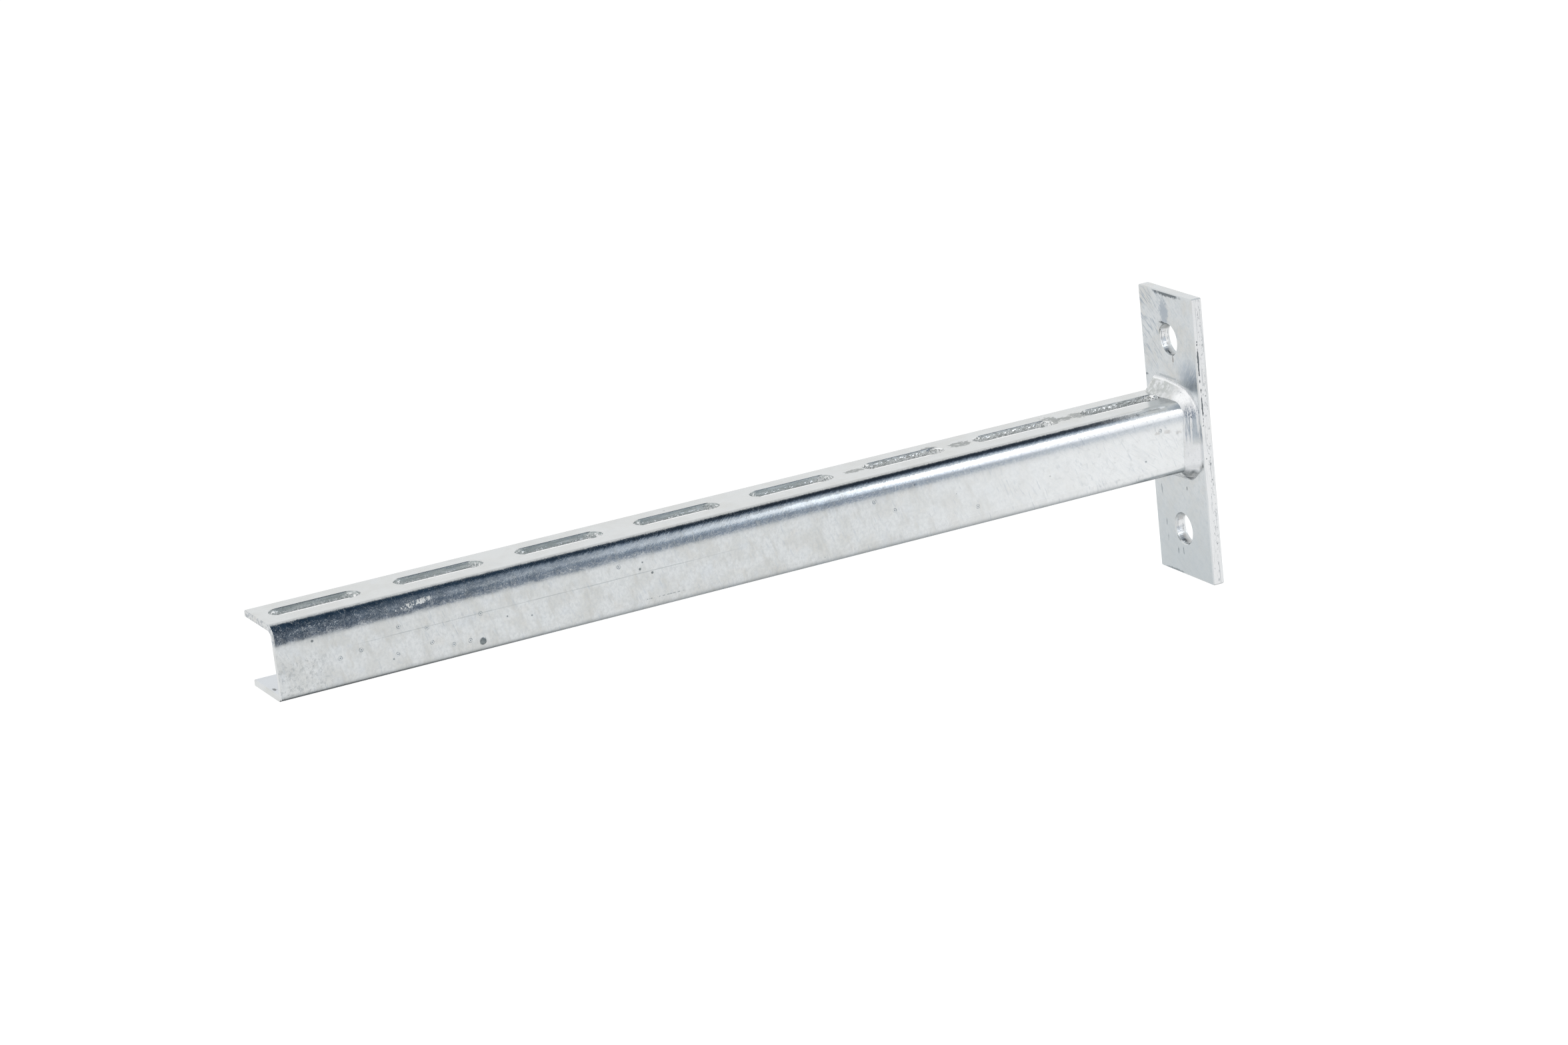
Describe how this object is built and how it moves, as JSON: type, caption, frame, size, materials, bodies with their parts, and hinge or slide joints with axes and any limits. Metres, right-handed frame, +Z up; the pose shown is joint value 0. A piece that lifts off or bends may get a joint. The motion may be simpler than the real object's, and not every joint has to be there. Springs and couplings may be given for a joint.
{
  "type": "cantilever bracket",
  "caption": "Galvanised cantilever arm: a slotted U channel welded square to a flat back plate with bolt holes, for carrying trays, pipes or shelves off a wall.",
  "frame": {"origin": "centre of the back plate's rear face, which lies on the wall", "axes": "+X into the wall, so the arm runs along -X; +Z up along the plate; the channel's web faces -Y and its flanges point to +Y"},
  "size_m": [0.402, 0.04, 0.12],
  "materials": {
    "galvanised_sheet": "hot-dip galvanised, smooth and bright with fine specks",
    "galvanised_bar": "hot-dip galvanised, satin",
    "galvanised_weld": "weld bead under the zinc, bright and uneven"
  },
  "bodies": {
    "root": {"arm_channel": "galvanised_sheet", "back_plate": "galvanised_bar", "fillet_weld": "galvanised_weld"}
  },
  "joints": []
}
